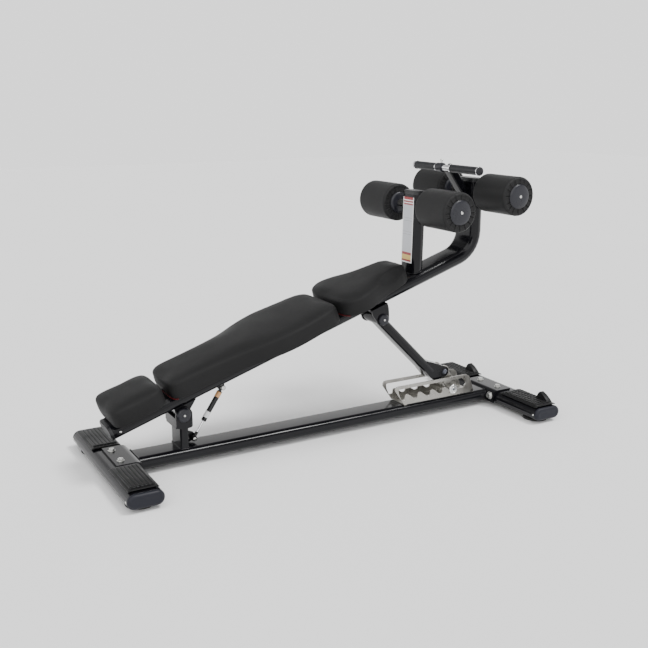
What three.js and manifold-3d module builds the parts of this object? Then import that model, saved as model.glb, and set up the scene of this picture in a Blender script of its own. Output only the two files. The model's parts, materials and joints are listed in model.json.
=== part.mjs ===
// Decline sit-up bench: a base with two cross feet, a tilting seat frame with three pads, four foam
// rollers, a prop strut whose pin rests in a toothed rack, and a small gas spring.
// Millimetres, +Z up, +X towards the roller end, -Y the near side.
import * as THREE from 'three';
import { mergeVertices } from 'three/addons/utils/BufferGeometryUtils.js';
import Module from 'manifold-3d';

const wasm = await Module();
wasm.setup();

// driving dimensions
const GAP = 0.3;
const TUBE_W = 120;
const TUBE_T = 50;
const WALL = 3;
const FOOT_H = 12;
const BASE_Z = FOOT_H + TUBE_T / 2;
const REAR_X = 1590;
const FRONT_HALF = 318;
const REAR_HALF = 339;
const CAP_LEN = 13;
const BEAM_W = 112;
const BEAM_T = 46;
const BEAM_Z = 39;
const PLATE_T = 6;
const TILT = THREE.MathUtils.degToRad(18.06);
const SEAT_LOW_Z = 144.1;
const POST_X = 1439;
const POST_TOP = 903;
const BEND_R = 107;
const FRONT_PIVOT = [225, 187];
const REAR_PIVOT = [1013, 419];
const RACK_PIN = [1356, 92];
const STRUT_BOLT = [1322, 166];
const TOOTH_PITCH = 59.5;
const AXLE_A = [1180, 826];
const AXLE_B = [1437, 869];
const AXLE_R = 13;
const ROLLER_R = 71;
const HANDLE = [1324, 957];
const SPRING_TOP = [388, 243];
const SPRING_LOW = [277, 78];
const LABEL_LEAN = THREE.MathUtils.degToRad(1.3);

const bench = new THREE.Group();
bench.name = 'decline_bench';
bench.position.x = -REAR_X / 2;

const along = new THREE.Vector3(Math.cos(TILT), 0, Math.sin(TILT));
const above = new THREE.Vector3(-Math.sin(TILT), 0, Math.cos(TILT));

// ---------- helpers ----------
function toSolid(geometry) {
  const bare = geometry.clone();
  bare.deleteAttribute('normal');
  bare.deleteAttribute('uv');
  const merged = mergeVertices(bare, 1e-4);
  const mesh = new wasm.Mesh({
    numProp: 3,
    vertProperties: new Float32Array(merged.attributes.position.array),
    triVerts: new Uint32Array(merged.index.array),
  });
  return new wasm.Manifold(mesh);
}

function toGeometry(solid) {
  const mesh = solid.getMesh();
  const geometry = new THREE.BufferGeometry();
  geometry.setAttribute('position', new THREE.BufferAttribute(new Float32Array(mesh.vertProperties), 3));
  geometry.setIndex(new THREE.BufferAttribute(new Uint32Array(mesh.triVerts), 1));
  return geometry;
}

function join(...geometries) {
  return toGeometry(geometries.map(toSolid).reduce((a, b) => a.add(b)));
}

function cut(geometry, ...tools) {
  return toGeometry(tools.map(toSolid).reduce((a, b) => a.subtract(b), toSolid(geometry)));
}

function keep(geometry, tool) {
  return toGeometry(toSolid(geometry).intersect(toSolid(tool)));
}

function addMesh(name, geometry, colour, roughness, metalness) {
  const flat = toGeometry(toSolid(geometry));
  flat.computeVertexNormals();
  const material = new THREE.MeshStandardMaterial({ color: colour, roughness, metalness });
  const mesh = new THREE.Mesh(flat, material);
  mesh.name = name;
  bench.add(mesh);
  return mesh;
}

const paint = [0x15151a, 0.3, 0.4];
const plastic = [0x23242c, 0.5, 0.0];
const rubber = [0x1c1c1d, 0.85, 0.0];
const vinyl = [0x2c2c2c, 0.7, 0.0];
const steel = [0xb9b6b0, 0.4, 0.9];
const chrome = [0xd8d8da, 0.15, 1.0];

// rounded rectangle, w along the shape's x, t along its y
function roundRect(w, t, r, segments = 4) {
  const points = [];
  const corners = [[w / 2 - r, t / 2 - r, 0], [r - w / 2, t / 2 - r, 1], [r - w / 2, r - t / 2, 2],
    [w / 2 - r, r - t / 2, 3]];
  for (const [cx, cy, quarter] of corners) {
    for (let i = 0; i <= segments; i++) {
      const a = (quarter + i / segments) * Math.PI / 2;
      points.push(new THREE.Vector2(cx + r * Math.cos(a), cy + r * Math.sin(a)));
    }
  }
  return points;
}

function shapeOf(points, ...holes) {
  const shape = new THREE.Shape(points.map((p) => (p.isVector2 ? p : new THREE.Vector2(p[0], p[1]))));
  for (const hole of holes) {
    shape.holes.push(new THREE.Path(hole.map((p) => (p.isVector2 ? p : new THREE.Vector2(p[0], p[1])))));
  }
  return shape;
}

function circlePoints(r, x = 0, y = 0, segments = 16) {
  const points = [];
  for (let i = 0; i < segments; i++) {
    const a = (2 * Math.PI * i) / segments;
    points.push(new THREE.Vector2(x + r * Math.cos(a), y + r * Math.sin(a)));
  }
  return points;
}

// straight run of a section from p0 to p1: shape x lies along Y, shape y along the side direction
function run(shape, p0, p1) {
  const a = new THREE.Vector3(...p0);
  const b = new THREE.Vector3(...p1);
  const length = a.distanceTo(b);
  const geometry = new THREE.ExtrudeGeometry(shape, { depth: length, bevelEnabled: false });
  const zAxis = b.clone().sub(a).normalize();
  const xAxis = Math.abs(zAxis.y) > 0.9 ? new THREE.Vector3(1, 0, 0) : new THREE.Vector3(0, 1, 0);
  const yAxis = zAxis.clone().cross(xAxis);
  geometry.applyMatrix4(new THREE.Matrix4().makeBasis(xAxis, yAxis, zAxis).setPosition(a));
  return geometry;
}

// outline in the X-Z plane, extruded from y0 to y1
function slabY(points, y0, y1, ...holes) {
  const shape = shapeOf(points, ...holes);
  const geometry = new THREE.ExtrudeGeometry(shape, { depth: y1 - y0, bevelEnabled: false });
  geometry.rotateX(Math.PI / 2);
  geometry.translate(0, y1, 0);
  return geometry;
}

function box(x0, x1, y0, y1, z0, z1) {
  const geometry = new THREE.BoxGeometry(x1 - x0, y1 - y0, z1 - z0);
  geometry.translate((x0 + x1) / 2, (y0 + y1) / 2, (z0 + z1) / 2);
  return geometry;
}

// body of revolution about a Y line through (x, z); profile is [radius, y] from axis to axis
function latheY(profile, x, z, segments = 20) {
  const points = profile.map(([r, y]) => new THREE.Vector2(r, y));
  const geometry = new THREE.LatheGeometry(points, segments);
  geometry.translate(x, 0, z);
  return geometry;
}

function rodY(r, y0, y1, x, z, segments = 16) {
  const geometry = new THREE.CylinderGeometry(r, r, y1 - y0, segments);
  geometry.translate(x, (y0 + y1) / 2, z);
  return geometry;
}

function hexY(r, y0, y1, x, z) {
  return rodY(r, y0, y1, x, z, 6);
}

function rodZ(r, z0, z1, x, y, segments = 24) {
  const geometry = new THREE.CylinderGeometry(r, r, z1 - z0, segments);
  geometry.rotateX(Math.PI / 2);
  geometry.translate(x, y, (z0 + z1) / 2);
  return geometry;
}

// point on the seat tube: s along the tube, h above its underside
function onSeat(s, h) {
  return [along.x * s + above.x * h, SEAT_LOW_Z + along.z * s + above.z * h];
}

const tubeShape = shapeOf(roundRect(TUBE_W, TUBE_T, 24.9, 4),
  roundRect(TUBE_W - 2 * WALL, TUBE_T - 2 * WALL, 21.9, 4).reverse());
const tubeSolid = shapeOf(roundRect(TUBE_W, TUBE_T, 24.9, 4));

// ---------- base ----------
// cross tube lying along Y; its flat sides face up and down
function crossTube(name, x, half) {
  addMesh(name, run(tubeShape, [x, -half, BASE_Z], [x, half, BASE_Z]), ...paint);
}

// end cap: rounded block the size of the tube, with a plug that enters the tube
function endCap(name, x, half, side) {
  const shape = shapeOf(roundRect(TUBE_W - 22, TUBE_T - 24, 12.9, 4));
  const block = new THREE.ExtrudeGeometry(shape, {
    depth: CAP_LEN, bevelThickness: 12, bevelSize: 12, bevelSegments: 3,
  });
  const blunt = keep(block, box(-80, 80, -40, 40, 12, CAP_LEN + 20));
  blunt.translate(0, 0, -12);
  const plug = new THREE.ExtrudeGeometry(shapeOf(roundRect(TUBE_W - 8, TUBE_T - 8, 20, 4)),
    { depth: 24, bevelEnabled: false });
  plug.translate(0, 0, -22);
  const cap = join(blunt, plug);
  cap.rotateX(-Math.PI / 2 * side);
  cap.translate(x, side * (half - CAP_LEN + GAP), BASE_Z);
  addMesh(name, cap, ...plastic);
}

// tread: a thin cover over the top of the cross tube, ribbed along Y, with short side lips
function treadSection(ribs) {
  const outer = [];
  const inner = [];
  const n = 3;
  for (let i = 0; i <= n; i++) {
    const a = THREE.MathUtils.degToRad(64 + 26 * (i / n));
    outer.push([35 + 30.5 * Math.cos(a), 30.5 * Math.sin(a)]);
    inner.push([35 + 25.4 * Math.cos(a), 25.4 * Math.sin(a)]);
  }
  const top = [];
  const pitch = 70 / ribs;
  for (let i = ribs - 1; i >= 0; i--) {
    const c = -35 + pitch * (i + 0.5);
    const e = pitch * 0.3;
    top.push([c + e, 30.5], [c + e, 32.7], [c - e, 32.7], [c - e, 30.5]);
  }
  const left = outer.map(([x, y]) => [-x, y]).reverse();
  const under = inner.map(([x, y]) => [-x, y]);
  return [...outer, ...top, ...left, ...under, ...inner.slice().reverse()];
}

function tread(name, x, y0, y1, ribs, grid) {
  const section = shapeOf(treadSection(ribs));
  let body = new THREE.ExtrudeGeometry(section, { depth: y1 - y0, bevelEnabled: false });
  body.rotateX(Math.PI / 2);
  body.translate(x, y1, BASE_Z);
  if (grid) {
    const grooves = [];
    const count = 8;
    for (let i = 1; i < count; i++) {
      const y = y0 + ((y1 - y0) * i) / count;
      grooves.push(box(x - 35.5, x + 35.5, y - 2.5, y + 2.5, BASE_Z + 30.6, BASE_Z + 40));
    }
    body = cut(body, ...grooves);
    // heel stop: a curved wedge along the outer edge at the -Y end
    const wedge = shapeOf([[0, 0], [6, 12], [14, 27], [20, 34], [27, 32], [42, 25], [58, 14], [70, 2],
      [74, -10], [0, -10]]);
    const stop = new THREE.ExtrudeGeometry(wedge, { depth: 24, bevelEnabled: false });
    const upright = new THREE.Matrix4().makeBasis(new THREE.Vector3(0, -1, 0),
      new THREE.Vector3(0, 0, 1), new THREE.Vector3(-1, 0, 0));
    stop.applyMatrix4(upright.setPosition(x + 46, y0 + 84, BASE_Z + 30));
    const trimmed = cut(stop, run(tubeSolid, [x, y0 - 5, BASE_Z], [x, y1 + 5, BASE_Z]));
    body = join(body, trimmed);
  }
  addMesh(name, body, ...rubber);
}

// bracket of bent plate that ties the beam to a cross tube, with two hex heads on top
function saddle(name, tubeX, side, half, boltY, flangeBolts) {
  const wall = tubeX + side * (TUBE_W / 2 + GAP);
  const zTop = BASE_Z + TUBE_T / 2 + GAP;
  const bend = [[-19.5, 62.3], [-19.5, 68.3], [44, 68.3], [52, 67], [59, 64.3], [64, 61], [66.3, 57],
    [66.3, 20], [60.3, 20]];
  for (let i = 0; i <= 5; i++) {
    const a = (Math.PI / 2) * (i / 5);
    bend.push([35 + 25.7 * Math.cos(a), BASE_Z + 25.7 * Math.sin(a)]);
  }
  const section = bend.map(([x, z]) => [tubeX + side * x, z]);
  const plate = slabY(side > 0 ? section.reverse() : section, -half, half);
  const parts = [plate];
  for (const y of [-boltY, boltY]) {
    const x = tubeX + (side < 0 ? -12 : 4);
    parts.push(rodZ(12, zTop + PLATE_T - 1, zTop + PLATE_T + 2, x, y, 20));
    parts.push(rodZ(10, zTop + PLATE_T + 1, zTop + PLATE_T + 8, x, y, 6));
  }
  if (flangeBolts) {
    for (const y of [-72, 72]) {
      const head = new THREE.CylinderGeometry(14, 14, 10, 6);
      head.rotateZ(Math.PI / 2);
      head.translate(wall + side * (PLATE_T + 4), y, 45);
      parts.push(head);
    }
  }
  addMesh(name, join(...parts), ...paint);
}

function rubberFoot(name, x, y) {
  const profile = [[0, 0], [46, 0], [48, 2], [48, 7], [40, FOOT_H - GAP], [0, FOOT_H - GAP]];
  const foot = new THREE.LatheGeometry(profile.map(([r, z]) => new THREE.Vector2(r, z)), 20);
  foot.rotateX(Math.PI / 2);
  foot.translate(x, y, 0);
  addMesh(name, foot, ...rubber);
}

crossTube('front_cross_tube', 0, FRONT_HALF - CAP_LEN);
crossTube('rear_cross_tube', REAR_X, REAR_HALF - CAP_LEN);
for (const [side, tag] of [[-1, 'near'], [1, 'far']]) {
  endCap(`front_cap_${tag}`, 0, FRONT_HALF, side);
  endCap(`rear_cap_${tag}`, REAR_X, REAR_HALF, side);
  rubberFoot(`front_foot_${tag}`, 0, side * 247);
  rubberFoot(`rear_foot_${tag}`, REAR_X, side * 268);
}
tread('front_tread_near', 0, -292, -95, 6, false);
tread('front_tread_far', 0, 95, 292, 6, false);
tread('rear_tread_near', REAR_X, -322, -120, 5, true);
tread('rear_tread_far', REAR_X, 120, 322, 5, true);
saddle('front_saddle', 0, 1, 86, 49, false);
saddle('rear_saddle', REAR_X, -1, 95, 54, true);

const beamStart = TUBE_W / 2 + 2 * GAP + PLATE_T;
const beamEnd = REAR_X - TUBE_W / 2 - 2 * GAP - PLATE_T;
const beamShape = shapeOf(roundRect(BEAM_W, BEAM_T, 22, 4),
  roundRect(BEAM_W - 2 * WALL, BEAM_T - 2 * WALL, 19, 4).reverse());
const beamBolts = [-72, 72].map((y) => box(beamEnd - 20, beamEnd + 5, y - 16, y + 16, 28, 62));
const beam = run(beamShape, [beamStart, 0, BEAM_Z], [beamEnd, 0, BEAM_Z]);
addMesh('base_beam', cut(beam, ...beamBolts), ...paint);

// front post: a flat upright on the beam with a U-shaped head that takes the pivot pin
function frontPost() {
  const [px, pz] = FRONT_PIVOT;
  const beamTop = BEAM_Z + BEAM_T / 2 + GAP;
  const upright = run(shapeOf(roundRect(92, 30, 7, 3)), [229, 0, beamTop], [229, 0, 141]);
  const ear = [];
  for (let i = 0; i <= 14; i++) {
    const a = Math.PI * (i / 14);
    ear.push([px + 2 + 29 * Math.cos(a), pz - 2 + 29 * Math.sin(a)]);
  }
  ear.push([198, 147], [201, 142], [213, 138.5], [243, 137], [252, 139], [256, 144]);
  const bore = circlePoints(10.2, px, pz, 16).reverse();
  const ears = [slabY(ear, -53, -45, bore), slabY(ear, 45, 53, bore)];
  const web = box(198, 202, -46, 46, 140, 175);
  const floor = box(198, 253, -46, 46, 139, 145);
  addMesh('front_post', join(upright, web, floor, ...ears), ...paint);
}
frontPost();

function pivotPin(name, [x, z], half, headR) {
  const headY = half + GAP;
  const up = [[10, headY], [headR, headY], [headR, headY + 4], [headR * 0.85, headY + 8.5],
    [headR * 0.5, headY + 11.5], [0, headY + 12.5]];
  const profile = [...up.map(([r, y]) => [r, -y]).reverse(), ...up];
  addMesh(name, latheY(profile, x, z, 16), ...plastic);
}
pivotPin('front_pivot_pin', FRONT_PIVOT, 53, 25);

// rack: a channel with a toothed slot in each side plate
function rackOutline() {
  return [[1124, 62.5], [1462, 62.5], [1442, 122], [1436, 132], [1424, 140], [1408, 143], [1096, 143],
    [1086, 141], [1081, 133], [1081, 124]];
}

function rackSlot() {
  const points = [[1100, 130], [1096, 126], [1098, 112], [1104, 98]];
  for (let i = 4; i >= 0; i--) {
    const v = RACK_PIN[0] - TOOTH_PITCH * i;
    if (i < 4) {
      points.push([v - TOOTH_PITCH + 14, 105], [v - 38, 105.5], [v - 31, 102], [v - 16, 90.5]);
    }
    points.push([v - 8, 85], [v, 84], [v + 7, 85.5], [v + 9.5, 90]);
    if (i > 0) {
      points.push([v + 10.5, 100]);
    }
  }
  points.push([1380, 90], [1410, 90], [1419, 98], [1421, 106], [1410, 124], [1400, 130]);
  return points.reverse();
}

function rack() {
  const plates = [slabY(rackOutline(), -46, -41, rackSlot()), slabY(rackOutline(), 41, 46, rackSlot())];
  const base = box(1124, 1462, -42, 42, 62.5, 66.5);
  addMesh('rack', join(base, ...plates), ...steel);
}
rack();

// bracket behind the post that holds the gas spring's lower stud
function springStud(x, z, y0) {
  return [rodY(5, y0 - 16, y0 + 1, x, z, 20), rodY(8.5, y0 - 20, y0 - 15, x, z, 20)];
}

function springBracket() {
  const [x, z] = SPRING_LOW;
  const outline = [[244.5, 64], [262, 64], [284, 70], [286, 88], [278, 98], [262, 104], [244.5, 104]];
  const bolt = hexY(6, 3, 9, x - 15, z - 7);
  addMesh('spring_bracket', join(slabY(outline, 8, 14), bolt, ...springStud(x, z, 8)), ...paint);
}
springBracket();

// ---------- seat frame ----------
// path of the seat tube: straight, an arc of 72 degrees, then upright
class SeatPath extends THREE.Curve {
  constructor() {
    super();
    const [x0, z0] = onSeat(-8, TUBE_T / 2);
    const cx = POST_X - BEND_R;
    const sBend = (cx + BEND_R * Math.sin(TILT) - x0) / Math.cos(TILT);
    const zBend = z0 + sBend * Math.sin(TILT);
    const cz = zBend + BEND_R * Math.cos(TILT);
    this.stations = [[new THREE.Vector3(x0, 0, z0), TILT]];
    const n = 7;
    for (let i = 0; i <= n; i++) {
      const a = TILT + (Math.PI / 2 - TILT) * (i / n);
      this.stations.push([new THREE.Vector3(cx + BEND_R * Math.sin(a), 0, cz - BEND_R * Math.cos(a)), a]);
    }
    this.stations.push([new THREE.Vector3(POST_X, 0, POST_TOP), Math.PI / 2]);
  }

  station(u) {
    return this.stations[Math.round(u * (this.stations.length - 1))];
  }

  getPointAt(u) {
    return this.station(u)[0].clone();
  }

  getTangentAt(u) {
    const a = this.station(u)[1];
    return new THREE.Vector3(Math.cos(a), 0, Math.sin(a));
  }
}

function seatTube() {
  const path = new SeatPath();
  const tube = new THREE.ExtrudeGeometry(tubeShape, {
    steps: path.stations.length - 1, extrudePath: path, bevelEnabled: false,
  });
  const hole = rodY(AXLE_R + GAP, -80, 80, ...AXLE_B);
  addMesh('seat_tube', cut(tube, hole), ...paint);
}
seatTube();

// plug in an open tube end, with a rim as wide as the tube
function tubePlug(name, from, direction, rimT, width = TUBE_W, colour = plastic) {
  const tip = [0, 1, 2].map((i) => from[i] + direction[i] * rimT);
  const start = [0, 1, 2].map((i) => from[i] + direction[i] * GAP);
  const inside = [0, 1, 2].map((i) => from[i] - direction[i] * 20);
  const mid = [0, 1, 2].map((i) => from[i] + direction[i] * (GAP + 1));
  const rim = run(shapeOf(roundRect(width, TUBE_T, 24.9, 4)), start, tip);
  const crown = run(shapeOf(roundRect(width - 7, TUBE_T - 7, 21, 4)), mid,
    [0, 1, 2].map((i) => tip[i] + direction[i] * 3));
  const plug = run(shapeOf(roundRect(width - 8, TUBE_T - 8, 20, 4)), inside, mid);
  addMesh(name, join(rim, crown, plug), ...colour);
}
const [tipX, tipZ] = onSeat(-8, TUBE_T / 2);
tubePlug('seat_tube_front_plug', [tipX, 0, tipZ], [-along.x, 0, -along.z], 8);
tubePlug('seat_tube_top_cap', [POST_X, 0, POST_TOP], [0, 0, 1], 12);

// label post: an upright standing on the seat tube
const leanDir = [Math.sin(LABEL_LEAN), 0, Math.cos(LABEL_LEAN)];
function labelPost() {
  const [x, z] = AXLE_A;
  const low = [x - leanDir[0] * 300, 0, z - leanDir[2] * 300];
  const top = [x + leanDir[0] * 40, 0, z + leanDir[2] * 40];
  const shape = shapeOf(roundRect(100, TUBE_T, 24.9, 4), roundRect(94, TUBE_T - 6, 21.9, 4).reverse());
  const post = run(shape, low, top);
  const a = onSeat(900, TUBE_T + GAP);
  const b = onSeat(1500, TUBE_T + GAP);
  const belowSeat = slabY([[a[0], a[1]], [a[0], 0], [b[0], 0], [b[0], b[1]]], -90, 90);
  const hole = rodY(AXLE_R + GAP, -80, 80, x, z);
  addMesh('label_post', cut(post, belowSeat, hole), ...paint);
  tubePlug('label_post_cap', top, leanDir, 12, 100);
}
labelPost();

function labelPlate() {
  const [x, z] = AXLE_A;
  const offset = TUBE_T / 2 + GAP;
  const base = [x - leanDir[2] * offset - leanDir[0] * 214, 0, z + leanDir[0] * offset - leanDir[2] * 214];
  const tip = [base[0] + leanDir[0] * 244, 0, base[2] + leanDir[2] * 244];
  const plate = run(shapeOf(roundRect(66, 1.2, 0.3, 1)), base, tip);
  plate.translate(-0.6, 0, 0);
  addMesh('post_label', plate, 0xb9bcc4, 0.5, 0.0);
}
labelPlate();

// lug under the seat tube that turns on the front pivot pin
function frontLug() {
  const [px, pz] = FRONT_PIVOT;
  const outline = [];
  for (let i = 0; i <= 10; i++) {
    const a = Math.PI * (1.15 + 0.9 * (i / 10));
    outline.push([px + 22 * Math.cos(a), pz + 22 * Math.sin(a)]);
  }
  const s = (px - onSeat(0, 0)[0]) / along.x;
  outline.push(onSeat(s + 52, -GAP), onSeat(s - 30, -GAP));
  const bore = circlePoints(10.3, px, pz, 16).reverse();
  addMesh('front_lug', slabY(outline, -44, 44, bore), ...paint);
}
frontLug();

// clevis under the seat tube that carries the prop strut
function rearBracket() {
  const [px, pz] = REAR_PIVOT;
  const s = px / along.x + (pz - SEAT_LOW_Z - (px / along.x) * along.z) * along.z;
  const ear = [onSeat(s - 36, -GAP), onSeat(s - 36, -22)];
  for (let i = 0; i <= 10; i++) {
    const a = Math.PI * (1.06 + 0.98 * (i / 10));
    ear.push([px + 27 * Math.cos(a), pz + 27 * Math.sin(a)]);
  }
  ear.push(onSeat(s + 36, -22), onSeat(s + 36, -GAP));
  const bore = circlePoints(10.2, px, pz, 16).reverse();
  const roof = [onSeat(s - 36, -GAP), onSeat(s - 36, -7), onSeat(s + 36, -7), onSeat(s + 36, -GAP)];
  addMesh('rear_bracket', join(slabY(ear, -56, -49, bore), slabY(ear, 49, 56, bore), slabY(roof, -52, 52)),
    ...paint);
}
rearBracket();
pivotPin('rear_pivot_pin', REAR_PIVOT, 56, 21);

// lug and stud for the gas spring's upper eye
function springLug() {
  const [x, z] = SPRING_TOP;
  const s = x / along.x + (z - SEAT_LOW_Z - (x / along.x) * along.z) * along.z;
  const plate = slabY([onSeat(s - 20, -GAP), [x - 13, z - 4], [x - 6, z - 13], [x + 6, z - 13],
    [x + 13, z - 4], onSeat(s + 20, -GAP)], 8, 14);
  addMesh('spring_lug', join(plate, ...springStud(x, z, 8)), ...paint);
}
springLug();

function axle(name, [x, z]) {
  addMesh(name, rodY(AXLE_R, -268, 268, x, z, 20), ...steel);
}
axle('front_axle', AXLE_A);
axle('rear_axle', AXLE_B);

// arm from the upright to the handle
function handleArm() {
  const dir = new THREE.Vector3(-0.595, 0, 0.804);
  const top = new THREE.Vector3(HANDLE[0] + 11, 0, HANDLE[1] + 1);
  const low = top.clone().addScaledVector(dir, -190);
  const arm = run(shapeOf(roundRect(40, 32, 6, 3)), low.toArray(), top.toArray());
  const post = box(POST_X - 25 - GAP, POST_X + 200, -60, 60, 700, 1100);
  const bar = rodY(12, -80, 80, ...HANDLE);
  addMesh('handle_arm', cut(arm, post, bar), ...paint);
  const plugTop = top.clone().addScaledVector(dir, GAP);
  const dome = new THREE.LatheGeometry([[0, 0], [17, 0], [17, 4], [13, 9], [7, 12], [0, 13]].map(
    ([r, y]) => new THREE.Vector2(r, y)), 16);
  dome.applyMatrix4(new THREE.Matrix4().makeBasis(new THREE.Vector3(dir.z, 0, -dir.x), dir,
    new THREE.Vector3(0, 1, 0).negate()).setPosition(plugTop));
  addMesh('arm_plug', cut(dome, rodY(20, 0, 38, ...HANDLE), bar), ...plastic);
}
handleArm();

function handle() {
  const [x, z] = HANDLE;
  addMesh('handle_bar', rodY(11, -191, 191, x, z, 16), ...chrome);
  for (const [side, tag, start] of [[-1, 'near', 32], [1, 'far', 61]]) {
    const ys = (profile) => profile.map(([r, y]) => [r, side * y]);
    const profile = ys([[0, 191.3], [11.3, 191.3], [11.3, start], [14.5, start], [15, start + 2], [15, 187],
      [16, 189], [16, 195], [12, 199], [0, 200]]);
    addMesh(`grip_${tag}`, latheY(side > 0 ? profile : profile.reverse(), x, z, 16), ...rubber);
  }
  const ring = latheY([[11.3, 20.5], [17, 20.5], [17, 54], [11.3, 54], [11.3, 20.5]], x, z, 16);
  const stud = rodZ(4, z + 15, z + 29, x - 2, 29, 12);
  addMesh('clamp_ring', join(ring, stud), ...plastic);
}
handle();

// pads: outline half-widths along the seat tube, mirrored about the centre plane
function padOutline(stations) {
  const curve = new THREE.SplineCurve(stations.map(([s, w]) => new THREE.Vector2(s, w)));
  const upper = curve.getPoints(Math.round(stations.length * 1.6));
  const lower = upper.slice().reverse().filter((p) => p.y > 0.5).map((p) => new THREE.Vector2(p.x, -p.y));
  return [...upper, ...lower];
}

function padBlock(points, h0, h1, soft) {
  const options = soft
    ? { depth: h1 - h0 - 22, bevelThickness: 11, bevelSize: 9, bevelOffset: -9, bevelSegments: 2 }
    : { depth: h1 - h0, bevelEnabled: false };
  const geometry = new THREE.ExtrudeGeometry(shapeOf(points), options);
  if (soft) {
    geometry.translate(0, 0, 11);
  }
  const origin = onSeat(0, h0);
  geometry.applyMatrix4(new THREE.Matrix4().makeBasis(along, new THREE.Vector3(0, 1, 0), above)
    .setPosition(origin[0], 0, origin[1]));
  return geometry;
}

function pad(name, stations) {
  const outline = padOutline(stations);
  addMesh(`${name}_pad`, padBlock(outline, TUBE_T + 11, TUBE_T + 64, true), ...vinyl);
  const inset = outline.map((p) => {
    const mid = (stations[0][0] + stations[stations.length - 1][0]) / 2;
    const half = (stations[stations.length - 1][0] - stations[0][0]) / 2;
    return new THREE.Vector2(mid + (p.x - mid) * (1 - 9 / half), p.y * 0.93);
  });
  addMesh(`${name}_board`, padBlock(inset, TUBE_T + GAP, TUBE_T + 11 - GAP, false), 0x2a1416, 0.6, 0.0);
}
pad('head', [[-4, 0], [-3, 70], [8, 98], [30, 108], [90, 109], [150, 106], [178, 92], [188, 62], [190, 0]]);
pad('back', [[203, 0], [204, 70], [214, 98], [240, 113], [300, 116], [400, 120], [480, 130], [540, 150],
  [600, 164], [660, 168], [740, 160], [800, 150], [840, 132], [860, 96], [864, 0]]);
pad('seat', [[872, 0], [874, 80], [884, 124], [908, 151], [940, 160], [980, 152], [1030, 131], [1080, 114],
  [1130, 103], [1168, 88], [1194, 58], [1202, 0]]);

// ---------- rollers ----------
function roller(name, [x, z], side, y0) {
  const ys = (profile) => (side > 0 ? profile : profile.map(([r, y]) => [r, -y]).reverse());
  const y1 = y0 + 177;
  const foam = [[20, y0], [58, y0], [67, y0 + 3], [ROLLER_R, y0 + 10], [ROLLER_R, y1 - 10],
    [67, y1 - 3], [58, y1], [20, y1], [20, y0]];
  addMesh(`${name}_foam`, latheY(ys(foam), x, z, 20), 0x303030, 0.8, 0.0);
  const hub = [[13.25, y0 - 9], [24, y0 - 9], [34, y0 - 5], [37, y0 - GAP], [19.6, y0 - GAP],
    [19.6, y1 + GAP], [44, y1 + GAP], [43, y1 + 4], [33, y1 + 8], [15, y1 + 10], [0, y1 + 10.5],
    [0, y1 + 2.5], [13.25, y1 + 2.5], [13.25, y0 - 9]];
  addMesh(`${name}_hub`, latheY(ys(hub), x, z, 20), ...plastic);
}
roller('roller_a_near', AXLE_A, -1, 99);
roller('roller_a_far', AXLE_A, 1, 99);
roller('roller_b_near', AXLE_B, -1, 105);
roller('roller_b_far', AXLE_B, 1, 105);

// ---------- prop strut ----------
function strut() {
  const [px, pz] = REAR_PIVOT;
  const d = [Math.SQRT1_2, 0, -Math.SQRT1_2];
  const at = (t) => [px + d[0] * t, 0, pz + d[2] * t];
  const shape = shapeOf(roundRect(74, 38, 18.9, 4), roundRect(68, 32, 15.9, 4).reverse());
  const tube = cut(run(shape, at(12), at(350)), rodY(22, -60, 60, px, pz));
  const head = cut(rodY(24, -47, 47, px, pz, 20), rodY(10.3, -60, 60, px, pz, 16));
  const [bx, bz] = STRUT_BOLT;
  const foot = [[1243, 217], [1258, 213]];
  for (let i = 0; i <= 8; i++) {
    const a = Math.PI * (0.42 - 0.95 * (i / 8));
    foot.push([bx + 20 * Math.cos(a), bz + 20 * Math.sin(a)]);
  }
  foot.push([1280, 134], [1255, 150], [1228, 180], [1228, 208]);
  const slots = [-1, 1].map((side) => slabY([[1290, 100], [1400, 100], [1400, 200], [1290, 200]],
    ...[side * 23.7, side * 29.3].sort((a, b) => a - b)));
  const block = cut(slabY(foot.reverse(), -33, 33), rodY(6.3, -60, 60, bx, bz, 16), ...slots);
  addMesh('strut', join(tube, head, block), ...paint);
}
strut();

function strutTab(name, y0, y1) {
  const [bx, bz] = STRUT_BOLT;
  const [px, pz] = RACK_PIN;
  const outline = [];
  for (let i = 0; i <= 8; i++) {
    const a = Math.PI * (0.1 + 1.0 * (i / 8));
    outline.push([bx + 24 * Math.cos(a), bz + 24 * Math.sin(a)]);
  }
  for (let i = 0; i <= 8; i++) {
    const a = Math.PI * (1.1 + 1.0 * (i / 8));
    outline.push([px + 15 * Math.cos(a), pz + 15 * Math.sin(a)]);
  }
  const holes = [circlePoints(6.3, bx, bz, 16).reverse(), circlePoints(6.8, px, pz, 16).reverse()];
  addMesh(name, slabY(outline, y0, y1, ...holes), ...steel);
}
strutTab('strut_tab_near', -29, -24);
strutTab('strut_tab_far', 24, 29);

function strutBolt() {
  const [x, z] = STRUT_BOLT;
  const up = [[6, 33.3], [10.5, 33.3], [10.5, 35.5], [8, 38.5], [4, 39.8], [0, 40.1]];
  addMesh('strut_bolt', latheY([...up.map(([r, y]) => [r, -y]).reverse(), ...up], x, z, 16), ...chrome);
}
strutBolt();

// pin that rests in the rack's teeth, with a disc outside each side plate
function rackPin() {
  const [x, z] = RACK_PIN;
  const up = [[6.5, 47], [19, 47], [19, 51], [16, 53], [6, 54], [0, 54]];
  addMesh('rack_pin', latheY([...up.map(([r, y]) => [r, -y]).reverse(), ...up], x, z, 16), ...chrome);
}
rackPin();

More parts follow.
